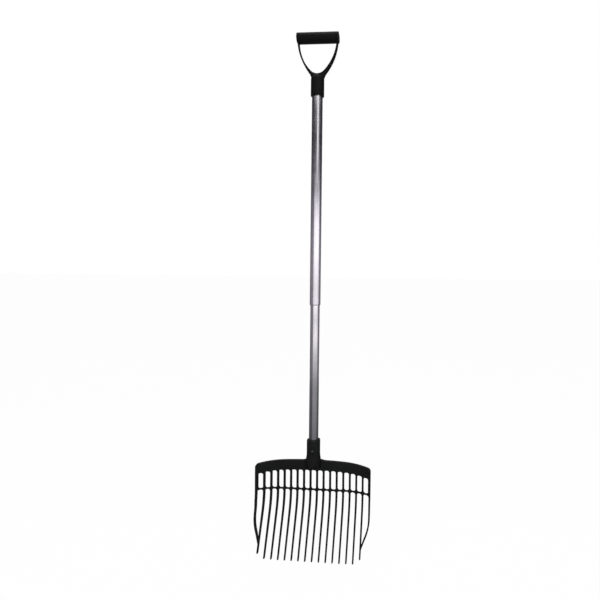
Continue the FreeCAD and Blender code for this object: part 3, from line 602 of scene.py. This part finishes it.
def makeTubes(tube):
    low, high = nodeBox("upper_tube")
    lowerLow, lowerHigh = nodeBox("lower_tube")
    radius, lowerRadius = high.x, lowerHigh.x
    bore = radius - tube["wall"]
    mouth = lowerRadius + tube["mouthGap"]
    roll = bore - mouth
    length = tube["mouthLength"]
    drawnIn, upFrom = tube["mouthRound"]
    bm = makeTurned([
        (bore, high.z), (radius, high.z), (radius, low.z + length),
        (radius - roll * drawnIn, low.z + length * upFrom), (radius - roll, low.z),
        (mouth, low.z), (mouth, low.z + length / 2), (bore, low.z + length)], hollow=True)
    roundEdges(bm, sharpEdges(bm, tube["edgeAngle"]), tube["upperEdge"], tube["edgeSteps"])
    addPiece(toMesh(bm, "upperTube"), "upperTube", "handle", "tube_aluminium", ["upper_tube"])
    lowerBore = lowerRadius - tube["wall"]
    bm = makeTurned([
        (lowerBore, lowerHigh.z), (lowerRadius, lowerHigh.z),
        (lowerRadius, lowerLow.z), (lowerBore, lowerLow.z)], hollow=True)
    roundEdges(bm, sharpEdges(bm, tube["edgeAngle"]), tube["lowerEdge"], tube["edgeSteps"])
    addPiece(toMesh(bm, "lowerTube"), "lowerTube", "fork", "tube_aluminium", ["lower_tube"],
             lowerTubeFinish)


makeTubes(tube)
print("tubes drawn")


# Socket of the head: a sleeve with a flared foot, a screw recess and two core pockets
socket = dict(
    radius=18.5,
    flareStart=41.0,  # below the rim
    flareEnd=53.0,
    depth=71.0,
    edge=0.5,
    edgeAngle=50,  # degrees
    blend=4.9,  # width of the soft corners above and below the flare
    blendSteps=5,
    blendAngle=8,  # degrees
    blendReach=10.0,  # the soft corners lie this far or more from both ends
    boreGap=0.15,
    boreMargin=1.0,  # tells the bore's edges from those further out or in
    seatRadius=7.0,
    seatDepth=3.0,
    seatLength=12.0,
    seatSteps=64,
    coreWidth=5.6,
    coreHeight=10.0,
    coreLength=20.0,
    coreFloor=15.0,
    coreSpacing=9.0,
    coreCorner=1.68,
    coreCornerSteps=4,
)


def makeSocket(socket):
    low, high = nodeBox("head_socket")
    rim, flare, radius = high.z, high.x, socket["radius"]
    floor = rim - socket["depth"]
    boreRadius = nodeBox("lower_tube")[1].x + socket["boreGap"]
    bm = makeTurned([
        (0, low.z), (flare, low.z), (flare, rim - socket["flareEnd"]),
        (radius, rim - socket["flareStart"]), (radius, rim), (boreRadius, rim),
        (boreRadius, floor), (0, floor)])
    reach, margin = socket["blendReach"], socket["boreMargin"]
    neck = [edge for edge in sharpEdges(bm, socket["blendAngle"])
            if low.z + reach < edge.verts[0].co.z < rim - reach
            and edge.verts[0].co.z == edge.verts[1].co.z
            and edge.verts[0].co.xy.length > boreRadius + margin]
    roundEdges(bm, neck, socket["blend"], socket["blendSteps"])
    ends = [edge for edge in sharpEdges(bm, socket["edgeAngle"])
            if edge.verts[0].co.xy.length > boreRadius - margin]
    roundEdges(bm, ends, socket["edge"])
    seat = makeCylinder(socket["seatRadius"], 0, socket["seatLength"], socket["seatSteps"])
    lay(seat, 90, "X", (0, socket["seatDepth"] - radius, middleHeight("head_screw")))
    cuts = [("DIFFERENCE", seat)]
    for side in (-1, 1):
        core = makeBlock((socket["coreWidth"], socket["coreLength"], socket["coreHeight"] * 2))
        upper = [edge for edge in core.edges
                 if abs(edge.verts[0].co.y - edge.verts[1].co.y) > socket["coreLength"] / 2
                 and edge.verts[0].co.z > 0]
        roundEdges(core, upper, socket["coreCorner"], socket["coreCornerSteps"])
        middleY = -socket["coreFloor"] - socket["coreLength"] / 2
        bmesh.ops.translate(core, verts=core.verts[:],
                            vec=(socket["coreSpacing"] * side, middleY, low.z))
        cuts.append(("DIFFERENCE", core))
    mesh = combine(bm, cuts)
    smoothMesh(mesh)
    addPiece(mesh, "headSocket", "fork", "head_plastic", ["head_socket"])


makeSocket(socket)
makeScrew(screw, "head_screw", "headScrew", "fork", "blackened_steel",
          headHeight=2.6, shankRadius=2.5, out=-1, turn=30)
print("socket made")


# Head: one moulding with an arched crossbar, a row of windows over a rib, sixteen
# tines that lean forward, and a rail at each side that turns in to the last tine
head = dict(
    tines=16,
    wallDepth=8.0,
    curlFlat=88.0,  # half width of the flat middle; beyond it the head curls forward
    curlRadius=170.0,
    topFlat=12.0,
    topRadius=1060.0,
    endCorner=8.0,
    neck=(20.0, 2.7),  # half width and height of the bar's rise to the socket
    neckFoot=(36.0, -0.3),
    neckRadius=52.0,
    windowDrop=27.2,  # middle windows' tops below the crossbar's top
    archFlat=25.0,
    archRadius=776.0,
    windowCorner=5.2,
    ribHeight=3.4,
    ribCorner=4.5,
    ribDepthShare=0.6,
    tineWidth=5.0,
    tipWidth=4.0,
    tipDepth=5.4,
    tipRound=6.5,  # each tip is rounded front to back over this length
    bendDrop=85.3,  # bend below the middle windows' tops
    bendRadius=150.0,
    lean=21.35,  # degrees
    railWidth=5.6,
    railEndWidth=4.0,
    railStraight=36.0,
    railTurn=22.0,  # degrees
    railTurnRadius=112.0,
    railBack=7.0,  # a rail's middle behind the plane of the tines
    railMargin=2.0,  # the rib thins no nearer to a rail's middle than this
    railGap=0.1,  # what lies further out than this from the last tine is rail
    gapEnd=(0.4, 2.5),  # blunt foot of the gap between rail and last tine, width and height
    neckMargin=2.0,  # the top's arc starts this far past the neck's foot
    edge=0.6,
    edgeSteps=3,
)
headSteps = dict(corner=5, neck=6, top=24, end=10, tip=8, rail=8, curl=14, bend=8)


# How far a line has fallen at a distance: flat at first, then round
def fallPast(distance, flat, radius):
    reach = max(0.0, abs(distance) - flat)
    return radius - math.sqrt(radius ** 2 - reach ** 2)


def makeHead(head, steps):
    low, high = nodeBox("head_crossbar")
    wallY = (low.y + high.y) / 2
    count = head["tines"]
    tineBoxes = [nodeBox("tine_%02d" % number) for number in range(1, count + 1)]
    lastX = (tineBoxes[-1][0].x + tineBoxes[-1][1].x) / 2
    pitch = lastX / (count / 2 - 0.5)
    half = nodeBox("crossbar_end_right")[1].x
    top = high.z
    ribZ, halfRib = middleHeight("cross_rib"), head["ribHeight"] / 2
    ribTop, ribFoot = ribZ + halfRib, ribZ - halfRib
    ribCorner, endCorner, halfTine = head["ribCorner"], head["endCorner"], head["tineWidth"] / 2
    windowTop = top - head["windowDrop"]
    bendZ = windowTop - head["bendDrop"]
    lean = math.radians(head["lean"])
    railX = half - head["railWidth"] / 2

    def tineHalf(z, tip):
        share = within((bendZ - z) / (bendZ - tip))
        return blend(head["tineWidth"], head["tipWidth"], share) / 2

    # Rail's middle line: height and distance from the middle
    turn = math.radians(head["railTurn"])
    turnRadius = head["railTurnRadius"]
    turns = [turn * step / steps["rail"] for step in range(steps["rail"] + 1)]
    line = [(low.z, railX), (bendZ, railX)]
    line += [(bendZ - (head["railStraight"] + turnRadius * math.sin(angle)) * math.cos(lean),
              railX - turnRadius * (1 - math.cos(angle))) for angle in turns]
    reach = (line[-1][1] - lastX) / math.tan(turn) * math.cos(lean)
    line.append((line[-1][0] - reach, lastX))
    railFoot = line[-1][0]

    def railHalf(z):
        share = (line[0][0] - z) / (line[0][0] - railFoot)
        return blend(head["railWidth"], head["railEndWidth"], share) / 2

    # Outline of the right half, from the top's middle round to the middle window
    topRadius = head["topRadius"]
    arcCenter = top - topRadius
    cornerReach = half - endCorner - head["topFlat"]
    cornerRise = math.sqrt((topRadius - endCorner) ** 2 - cornerReach ** 2)
    meet = math.degrees(math.atan2(cornerRise, cornerReach))
    neckX, neckRise = head["neck"]
    footX, footRise = head["neckFoot"]
    outline = [(0, top + neckRise)]
    outline += arcBetween((neckX, top + neckRise), (footX, top + footRise), head["neckRadius"],
                          1, steps["neck"])
    arch = arcPoints(head["topFlat"], arcCenter, topRadius, 90, meet, steps["top"])
    outline += [place for place in arch if place[0] > footX + head["neckMargin"]]
    outline += arcPoints(half - endCorner, arcCenter + cornerRise, endCorner, meet, 0,
                         steps["end"])
    outline += [(x + railHalf(z), z) for z, x in line[:-1]]
    lastTip = tineBoxes[-1][0].z
    outline.append((lastX + tineHalf(railFoot, lastTip), railFoot))
    for number in range(count, count // 2, -1):
        x = pitch * (number - (count + 1) / 2)
        tip = tineBoxes[number - 1][0].z
        tipHalf = head["tipWidth"] / 2
        outline.append((x + tipHalf, tip + head["tipRound"]))
        outline += arcPoints(x, tip + tipHalf, tipHalf, 0, -180, steps["tip"])
        outline.append((x - tipHalf, tip + head["tipRound"]))
        outline.append((x - halfTine, bendZ))
        outline += arcPoints(x - halfTine - ribCorner, ribFoot - ribCorner, ribCorner, 0, 90,
                             steps["corner"])
        if number > count // 2 + 1:
            right = x - pitch + halfTine
            outline += arcPoints(right + ribCorner, ribFoot - ribCorner, ribCorner, 90, 180,
                                 steps["corner"])
            outline.append((right, bendZ))
    outline += [(0, ribFoot), (0, ribTop)]

    # One side of a window, from the rib up on the right and down to it on the left
    def windowSide(side, left, right, above):
        corner, few = head["windowCorner"], steps["corner"]
        if side > 0:
            return (arcPoints(right - ribCorner, ribTop + ribCorner, ribCorner, -90, 0, few)
                    + arcPoints(right - corner, above - corner, corner, 0, 90, few))
        return (arcPoints(left + corner, above - corner, corner, 90, 180, few)
                + arcPoints(left + ribCorner, ribTop + ribCorner, ribCorner, 180, 270, few))

    outline += windowSide(1, 0, pitch / 2 - halfTine, windowTop)
    outline.append((0, windowTop))
    bm = bmesh.new()
    addLoop(bm, outline)
    for number in range(1, count // 2 + 1):
        x = pitch * number
        left = x - pitch / 2 + halfTine
        rightWidth = head["railWidth"] if number == count // 2 else head["tineWidth"]
        right = x + pitch / 2 - rightWidth / 2
        above = windowTop - fallPast(x, head["archFlat"], head["archRadius"])
        addLoop(bm, windowSide(1, left, right, above) + windowSide(-1, left, right, above))
    # The long gap between the rail and the last tine
    face = lastX + halfTine
    inner = [(x - railHalf(z), z) for z, x in line[1:]]
    (startX, startZ), (endX, endZ) = inner[-2:]
    share = (startX - face) / (startX - endX)
    meetZ = blend(startZ, endZ, share)
    meetX = lastX + tineHalf(meetZ, lastTip)
    gapWidth, gapRise = head["gapEnd"]
    gap = arcPoints(face + ribCorner, ribFoot - ribCorner, ribCorner, 180, 90, steps["corner"])
    gap += arcPoints(inner[0][0] - ribCorner, ribFoot - ribCorner, ribCorner, 90, 0,
                     steps["corner"])
    gap += inner[:-1] + [(meetX + gapWidth, meetZ), (meetX, meetZ + gapRise), (face, bendZ)]
    addLoop(bm, gap)
    bmesh.ops.mirror(bm, geom=bm.verts[:] + bm.edges[:], matrix=Matrix(), merge_dist=near, axis="X")
    for edge in bm.edges[:]:
        if max(abs(vert.co.x) for vert in edge.verts) < near / 2:
            bm.edges.remove(edge)
    makeSlab(bm, head["wallDepth"])
    roundEdges(bm, rimEdges(bm), head["edge"], head["edgeSteps"], clamp=False)

    # Cuts across the slab, so that it can bend
    curlCuts = [side * (head["curlFlat"] + (half - head["curlFlat"]) * step / steps["curl"])
                for side in (-1, 1) for step in range(steps["curl"])]
    bendTop = bendZ + head["bendRadius"] * math.tan(lean / 2)
    bendHeight = head["bendRadius"] * math.sin(lean)
    leanCuts = [bendTop - bendHeight * step / steps["bend"] for step in range(steps["bend"] + 1)]
    cuts = [((x, 0, 0), (1, 0, 0)) for x in curlCuts] + [((0, 0, z), (0, 0, 1)) for z in leanCuts]
    for place, normal in cuts:
        bmesh.ops.bisect_plane(bm, geom=bm.verts[:] + bm.edges[:] + bm.faces[:], dist=0.0001,
                               plane_co=place, plane_no=normal)
    tips = [box[0].z for box in tineBoxes]
    deepest = min(tips)
    for vert in bm.verts:
        x, y, z = vert.co
        # The rib is thinner than the bars it joins
        fromBar = abs((x / pitch) % 1 - 0.5) * pitch
        if abs(z - ribZ) < halfRib + ribCorner and abs(x) < railX - head["railMargin"]:
            offBar = within((fromBar - halfTine) / ribCorner)
            inRib = 1 - within((abs(z - ribZ) - halfRib) / ribCorner)
            y *= 1 - (1 - head["ribDepthShare"]) * offBar * inRib
        # The tines taper and end in a round tip
        below = max(0.0, bendZ - z) / (bendZ - deepest)
        y *= 1 + (head["tipDepth"] / head["wallDepth"] - 1) * below
        tine = min(count - 1, max(0, round(x / pitch + count / 2 - 0.5)))
        if abs(x) < lastX + head["tineWidth"] and z < tips[tine] + head["tipRound"]:
            y *= math.sqrt(max(0.0, 1 - (1 - (z - tips[tine]) / head["tipRound"]) ** 2))
        # Below the bend all leans forward, and the rails' middle a little less
        if z >= bendTop:
            angle, shift = 0.0, 0.0
        elif z >= bendTop - bendHeight:
            angle = math.asin((bendTop - z) / head["bendRadius"])
            shift = head["bendRadius"] * (1 - math.cos(angle))
        else:
            angle, shift = lean, (bendZ - z) * math.tan(lean)
        if z < bendZ and abs(x) > lastX + halfTine + head["railGap"]:
            along = within((bendZ - z) / (bendZ - railFoot))
            shift -= head["railBack"] * math.sin(math.pi * along)
        curl = fallPast(x, head["curlFlat"], head["curlRadius"])
        vert.co.y = wallY + y / math.cos(angle) - shift - curl
    bmesh.ops.remove_doubles(bm, verts=bm.verts[:], dist=touch)
    bmesh.ops.recalc_face_normals(bm, faces=bm.faces[:])
    nodes = ["head_crossbar", "crossbar_end_left", "crossbar_end_right", "cross_rib"]
    nodes += ["side_rail_left", "side_rail_right"]
    nodes += ["tine_%02d" % number for number in range(1, count + 1)]
    addPiece(toMesh(bm, "headMoulding"), "headMoulding", "fork", "head_plastic", nodes)


makeHead(head, headSteps)
print("head moulded")


# Inner pieces keep their CAD shape and take their finish
innerPieces = dict(
    grip_rod="fastener_steel", lock_stud="fastener_steel", lock_clip="fastener_steel",
    lock_plug="lock_nylon", lock_sleeve="lock_nylon", lock_cone="lock_nylon",
)
for node, slot in innerPieces.items():
    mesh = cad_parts[node].data
    mesh.materials.clear()
    mesh.materials.append(finishes[slot])
print("inner pieces finished")


# Studio: white floor and surroundings, soft lamps, and glowing cards that only gloss can
# see, which paint the reflections and highlights on the fork. Its sizes are in metres
studio = dict(
    floorSize=80.0,
    floorGlow=0.97,  # share of white that the camera and gloss see on the floor
    floorPaint="#f8f8f8",
    fill=0.5,  # strength of the surroundings' light, where they look full white
    cardLift=0.002,  # the cards on the floor lie this far above it
    cardSteps=24,
)
lamps = dict(
    keyLamp=dict(place=(1.2, -1.9, 0.3), target=(0, 0, -0.55), size=(0.9, 1.6), power=22),
    topLamp=dict(place=(0.0, -0.4, 1.6), target=(0, 0, -0.5), size=(1.4, 1.4), power=14),
    leftLamp=dict(place=(-1.6, -1.2, -0.2), target=(0, 0, -0.6), size=(0.8, 1.6), power=6),
)

# Painted reflection: each card's shades by height, or by reach from the middle for those on the
# floor; they paint the tubes' highlights bright and their edges and lower end dark
paintedReflectionShades = dict(
    front=((-1.29, "#a8a8aa"), (-1.21, "#a4a4a6"), (-1.06, "#aeaeb0"), (-0.9, "#e1e1e1"),
           (-0.73, "#e7e7e7"), (-0.66, "#a6a6a8"), (-0.52, "#dcdcdc"), (-0.45, "#e7e7e7"),
           (-0.29, "#ffffff"), (-0.16, "#f0f0f0"), (-0.04, "#f8f8f8"), (0.1, "#d6d6d8"),
           (0.22, "#b8b8ba"), (0.32, "#98989a"), (0.44, "#606062"), (0.63, "#404042"),
           (1.6, "#303032")),
    # strip: a narrow painted highlight down the tubes
    strip=((0.15, "#505052"), (0.32, "#505052"), (0.44, "#6c6c6e"), (0.63, "#d8d8da"),
           (1.6, "#d8d8da")),
    # side: the painted dark edges of the tubes
    side=((-1.29, "#6e6a72"), (-0.3, "#767079"), (0.0, "#66626a"), (0.22, "#4e4a52"),
          (0.44, "#3c3840"), (0.63, "#2c2a30"), (1.6, "#28262c")),
    back=((-1.29, "#e4e4e6"), (1.6, "#e4e4e6")),
    # floor: painted dark reflection low on the tubes and on the head
    floorFront=((0.1, "#404042"), (0.54, "#7c7c7e"), (0.9, "#8c8c8e"), (1.11, "#808082"),
                (1.37, "#929294"), (1.7, "#a8a8aa")),
    floorSide=((0.1, "#343436"), (0.65, "#505052"), (1.35, "#5a5a5c"), (1.7, "#6c6a70")),
)

# Each card stands round the fork from one angle to another, in degrees from the front; one
# without a radius lies on the floor. Each glows to paint a reflection on the fork
cards = dict(
    leftCard=dict(arc=(-145, -28), shades="side", radius=1.7, strength=1.0),
    # the front card glows past white, for a brighter painted highlight on the tubes
    frontCard=dict(arc=(-28, 85), shades="front", radius=1.7, strength=1.25),
    rightCard=dict(arc=(85, 165), shades="side", radius=1.7, strength=1.0),
    backCard=dict(arc=(165, 215), shades="back", radius=1.7, strength=1.0),
    # the strip card paints a narrow highlight on the tubes
    stripCard=dict(arc=(15, 50), shades="strip", radius=1.6, strength=1.0),
    floorFrontCard=dict(arc=(-28, 85), shades="floorFront", radius=None, strength=1.0),
    floorSideCard=dict(arc=(85, 332), shades="floorSide", radius=None, strength=1.0),
)


# 1 for the rays that see the white surroundings: the camera's, and those through gloss and glass
def seenRays(tree):
    path = addNode(tree, "ShaderNodeLightPath")
    seen = path.outputs["Is Camera Ray"]
    for ray in ("Is Glossy Ray", "Is Transmission Ray"):
        either = addNode(tree, "ShaderNodeMath", {"operation": "MAXIMUM"},
                         links={0: seen, 1: path.outputs[ray]})
        seen = either.outputs[0]
    return seen


def addStage(bm, name, material):
    bmesh.ops.recalc_face_normals(bm, faces=bm.faces[:])
    mesh = bpy.data.meshes.new(name)
    bm.to_mesh(mesh)
    bm.free()
    mesh.materials.append(material)
    thing = bpy.data.objects.new(name, mesh)
    scene.collection.objects.link(thing)
    return thing


def makeFloor(studio):
    bm = bmesh.new()
    bmesh.ops.create_grid(bm, x_segments=1, y_segments=1, size=studio["floorSize"] / 2)
    bmesh.ops.translate(bm, vec=(0, 0, cadBox[0][2]), verts=bm.verts[:])
    material, tree = newMaterial("paintedStudioFloor")
    share = addNode(tree, "ShaderNodeMath", {"operation": "MULTIPLY"}, {1: studio["floorGlow"]},
                    {0: seenRays(tree)})
    paint = addNode(tree, "ShaderNodeBsdfDiffuse", values={"Color": linear(studio["floorPaint"])})
    glow = addNode(tree, "ShaderNodeEmission", values={"Strength": 1.0})
    mix = addNode(tree, "ShaderNodeMixShader", links={
        0: share.outputs[0], 1: paint.outputs[0], 2: glow.outputs[0]})
    addNode(tree, "ShaderNodeOutputMaterial", links={"Surface": mix.outputs[0]})
    addStage(bm, "studioFloor", material)


def makeWorld(studio):
    world = bpy.data.worlds.new("studioWorld")
    world.use_nodes = True
    tree = world.node_tree
    tree.nodes.clear()
    strength = addNode(tree, "ShaderNodeMapRange", values={
        "To Min": studio["fill"], "To Max": 1.0}, links={"Value": seenRays(tree)})
    light = addNode(tree, "ShaderNodeBackground", values={"Color": (1, 1, 1, 1)},
                    links={"Strength": strength.outputs["Result"]})
    addNode(tree, "ShaderNodeOutputWorld", links={"Surface": light.outputs[0]})
    scene.world = world


def addLamp(name, lamp):
    data = bpy.data.lights.new(name, "AREA")
    data.shape = "RECTANGLE"
    data.size, data.size_y = lamp["size"]
    data.energy = lamp["power"]
    thing = bpy.data.objects.new(name, data)
    aim = (Vector(lamp["target"]) - Vector(lamp["place"])).to_track_quat("-Z", "Y")
    thing.matrix_world = Matrix.Translation(lamp["place"]) @ aim.to_matrix().to_4x4()
    scene.collection.objects.link(thing)


# A glowing material shaded in stops, by height or by reach from the middle of the floor, that
# paints reflections
def paintedReflectionMaterial(name, stops, flat, strength):
    material, tree = newMaterial(name)
    place = objectPlace(tree)
    if flat:
        level = addNode(tree, "ShaderNodeVectorMath", {"operation": "MULTIPLY"}, {1: (1, 1, 0)},
                        {0: place})
        measure = addNode(tree, "ShaderNodeVectorMath", {"operation": "LENGTH"}, links={
            0: level.outputs["Vector"]}).outputs["Value"]
    else:
        measure = addNode(tree, "ShaderNodeSeparateXYZ", links={"Vector": place}).outputs["Z"]
    start, end = stops[0][0], stops[-1][0]
    share = addNode(tree, "ShaderNodeMapRange", values={"From Min": start, "From Max": end},
                    links={"Value": measure})
    ramp = addNode(tree, "ShaderNodeValToRGB", links={"Fac": share.outputs["Result"]})
    for number, (reach, color) in enumerate(stops):
        if number > 1:  # a new ramp has two stops
            ramp.color_ramp.elements.new(1.0)
        ramp.color_ramp.elements[number].position = (reach - start) / (end - start)
        ramp.color_ramp.elements[number].color = linear(color)
    glow = addNode(tree, "ShaderNodeEmission", values={"Strength": strength},
                   links={"Color": ramp.outputs["Color"]})
    addNode(tree, "ShaderNodeOutputMaterial", links={"Surface": glow.outputs[0]})
    return material


# Part of a cylinder, or on the floor part of a ring, that gloss alone sees: a painted reflection
def addCard(name, card):
    start, end = card["arc"]
    stops, radius = paintedReflectionShades[card["shades"]], card["radius"]
    bm = bmesh.new()
    angle = math.radians(start)
    floor = cadBox[0][2] + studio["cardLift"]
    corners = []
    for measure in (stops[0][0], stops[-1][0]):
        reach, height = (radius, measure) if radius else (measure, floor)
        corners.append(bm.verts.new((reach * math.sin(angle), -reach * math.cos(angle), height)))
    bmesh.ops.spin(bm, geom=corners + [bm.edges.new(corners)], cent=(0, 0, 0), axis=(0, 0, 1),
                   angle=math.radians(end - start), steps=studio["cardSteps"])
    thing = addStage(bm, name, paintedReflectionMaterial(name, stops, radius is None, card["strength"]))
    thing.visible_camera = False
    thing.visible_diffuse = False
    thing.visible_shadow = False
    thing.visible_transmission = False


makeFloor(studio)
makeWorld(studio)
for name, lamp in lamps.items():
    addLamp(name, lamp)
for name, card in cards.items():
    addCard(name, card)
print("studio lit")
